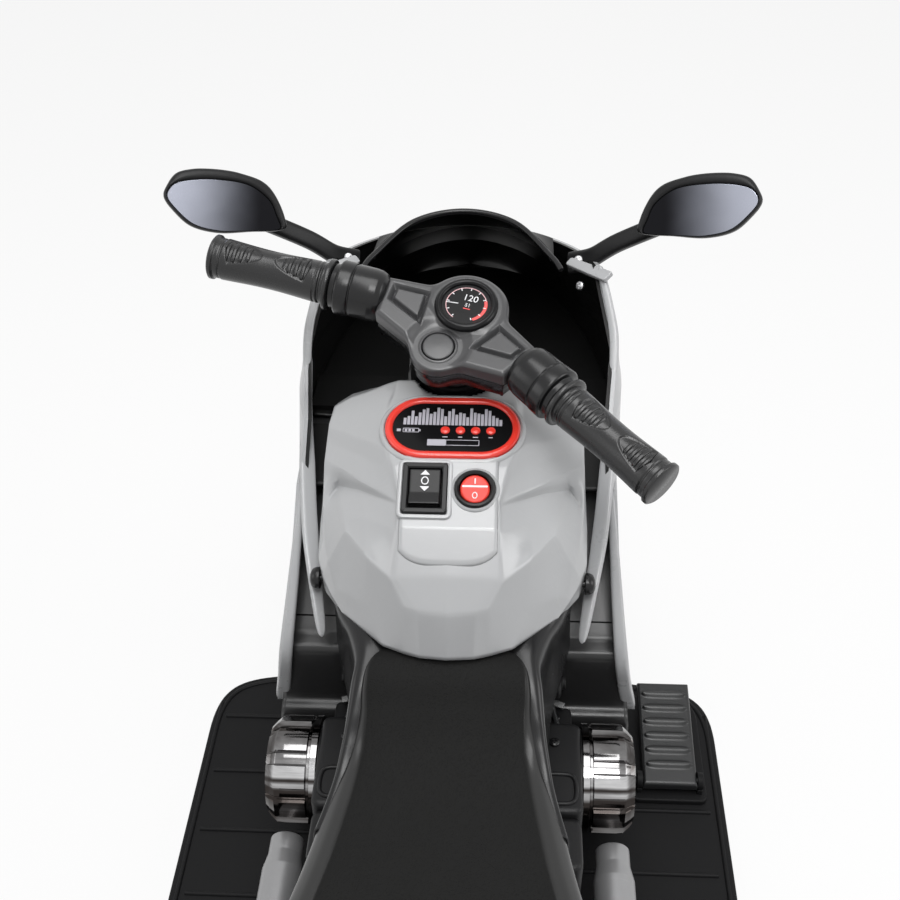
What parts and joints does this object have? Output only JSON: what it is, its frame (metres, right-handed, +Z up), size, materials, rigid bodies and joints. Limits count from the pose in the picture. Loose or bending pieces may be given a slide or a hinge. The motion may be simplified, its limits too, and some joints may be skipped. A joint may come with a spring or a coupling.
{
  "type": "kids electric motorbike",
  "caption": "Child's battery ride-on motorbike with sport fairing, mirrors, steered front wheel, gear-driven rear wheel, foot pedal and switch panel on the tank.",
  "frame": {"origin": "on the floor, under the middle of the overall box", "axes": "+X to the rider's right, +Y forward, +Z up; the handlebar rests turned to the right"},
  "size_m": [0.38, 0.8, 0.506],
  "materials": {
    "body_black": "glossy moulded black",
    "tank_grey": "glossy light grey with fine scratches",
    "fairing_grey": "glossy grey",
    "liner_black": "satin moulded black",
    "seat_black": "fine grain on top, smooth sides",
    "screen_smoke": "dark smoked, glossy",
    "panel_red": "glossy red",
    "panel_black": "glossy black",
    "switch_black": "satin",
    "switch_red": "translucent red",
    "charcoal": "satin charcoal",
    "grip_rubber": "soft satin",
    "chrome_look": "vacuum-plated bright",
    "mirror_film": "dark mirror film",
    "lamp_clear": "clear lens",
    "lamp_red": "red lens",
    "wheel_black": "moulded tread",
    "wheel_silver": "silver",
    "steel": "plain steel",
    "gear_white": "unfilled nylon",
    "battery_grey": "moulded case",
    "board_green": "circuit board",
    "bush_white": "acetal",
    "dial_black": "printed dial"
  },
  "bodies": {
    "chassis": {"body_left": "body_black", "body_right": "body_black", "tank_bolts": "body_black", "tank_cover": "tank_grey", "fairing_outer": "fairing_grey", "lower_fairings": "fairing_grey", "side_blades": "fairing_grey", "tail_cowl": "fairing_grey", "fairing_liner": "liner_black", "side_liners": "liner_black", "footboard_left": "liner_black", "footboard_right": "liner_black", "mirror_housings": "liner_black", "engine_blocks": "liner_black", "gearcase_inner": "liner_black", "gearcase_outer": "liner_black", "speaker": "liner_black", "charge_socket": "liner_black", "seat": "seat_black", "windscreen": "screen_smoke", "audio_bezel": "panel_red", "audio_face": "panel_black", "switch_bodies": "switch_black", "pedal_base": "charcoal", "engine_covers": "chrome_look", "exhausts": "chrome_look", "mirror_glasses": "mirror_film", "headlight_lens": "lamp_clear", "tail_light": "lamp_red", "motor": "steel", "rear_axle": "steel", "battery": "battery_grey", "control_board": "board_green", "steering_bushes": "bush_white"},
    "steering": {"steering_column": "steel", "fork": "liner_black", "front_mudguard": "liner_black", "front_axle": "steel", "handlebar_base": "charcoal", "handlebar_cover": "charcoal", "gauge": "dial_black", "grips": "grip_rubber", "grip_collars": "charcoal"},
    "front_wheel": {"front_tyre": "wheel_black", "front_rim": "wheel_silver"},
    "rear_wheel_left": {"rear_tyre_left": "wheel_black", "rear_rim_left": "wheel_silver"},
    "rear_wheel_right": {"rear_tyre_right": "wheel_black", "rear_rim_right": "wheel_silver", "output_gear": "gear_white"},
    "idler": {"idler_gear": "gear_white"},
    "motor_rotor": {"motor_pinion": "steel"},
    "pedal": {"pedal": "charcoal"},
    "drive_key": {"drive_rocker": "switch_black"},
    "power_key": {"power_rocker": "switch_red"},
    "horn": {"horn_button": "charcoal"},
    "audio_key_1": {"audio_button_1": "panel_red"},
    "audio_key_2": {"audio_button_2": "panel_red"},
    "audio_key_3": {"audio_button_3": "panel_red"},
    "audio_key_4": {"audio_button_4": "panel_red"}
  },
  "joints": [
    {"name": "steering_turn", "type": "hinge", "parent": "chassis", "child": "steering", "pos_m": [0, 0.286, 0.08706], "axis": [0, -0.342, 0.9397], "range_deg": [-5, 65]},
    {"name": "front_spin", "type": "hinge", "parent": "steering", "child": "front_wheel", "pos_m": [0, 0.286, 0.08706], "axis": [0.866, -0.4698, -0.171], "continuous": true},
    {"name": "rear_left_spin", "type": "hinge", "parent": "chassis", "child": "rear_wheel_left", "pos_m": [-0.155, -0.315, 0.085], "axis": [1, 0, 0], "continuous": true},
    {"name": "rear_right_spin", "type": "hinge", "parent": "chassis", "child": "rear_wheel_right", "pos_m": [0.155, -0.315, 0.085], "axis": [1, 0, 0], "continuous": true},
    {"name": "idler_spin", "type": "hinge", "parent": "chassis", "child": "idler", "pos_m": [0.11, -0.28993, 0.11488], "axis": [1, 0, 0], "continuous": true},
    {"name": "motor_spin", "type": "hinge", "parent": "chassis", "child": "motor_rotor", "pos_m": [0.1, -0.25751, 0.12668], "axis": [1, 0, 0], "continuous": true},
    {"name": "pedal_press", "type": "hinge", "parent": "chassis", "child": "pedal", "pos_m": [0.151, 0.097, 0.1073], "axis": [-1, 0, 0], "range_deg": [0, 7], "stiffness_Nm_per_rad": 3, "springref_deg": -5.73},
    {"name": "drive_select", "type": "hinge", "parent": "chassis", "child": "drive_key", "pos_m": [-0.0135, 0.07722, 0.39664], "axis": [1, 0, 0], "range_deg": [-8, 8]},
    {"name": "power_switch", "type": "hinge", "parent": "chassis", "child": "power_key", "pos_m": [0.014, 0.07722, 0.39664], "axis": [-1, 0, 0], "range_deg": [0, 16]},
    {"name": "horn_press", "type": "slide", "parent": "steering", "child": "horn", "axis": [0, 0.342, -0.9397], "range_m": [0, 0.002], "stiffness_N_per_m": 400, "springref_m": -0.002},
    {"name": "audio_press_1", "type": "slide", "parent": "chassis", "child": "audio_key_1", "axis": [0, 0.1709, -0.9853], "range_m": [0, 0.001], "stiffness_N_per_m": 500, "springref_m": -0.001},
    {"name": "audio_press_2", "type": "slide", "parent": "chassis", "child": "audio_key_2", "axis": [0, 0.1709, -0.9853], "range_m": [0, 0.001], "stiffness_N_per_m": 500, "springref_m": -0.001},
    {"name": "audio_press_3", "type": "slide", "parent": "chassis", "child": "audio_key_3", "axis": [0, 0.1709, -0.9853], "range_m": [0, 0.001], "stiffness_N_per_m": 500, "springref_m": -0.001},
    {"name": "audio_press_4", "type": "slide", "parent": "chassis", "child": "audio_key_4", "axis": [0, 0.1709, -0.9853], "range_m": [0, 0.001], "stiffness_N_per_m": 500, "springref_m": -0.001}
  ],
  "couplings": [
    {"joint": "idler_spin", "follows": "rear_right_spin", "ratio": -3.3333},
    {"joint": "motor_spin", "follows": "rear_right_spin", "ratio": 12}
  ]
}
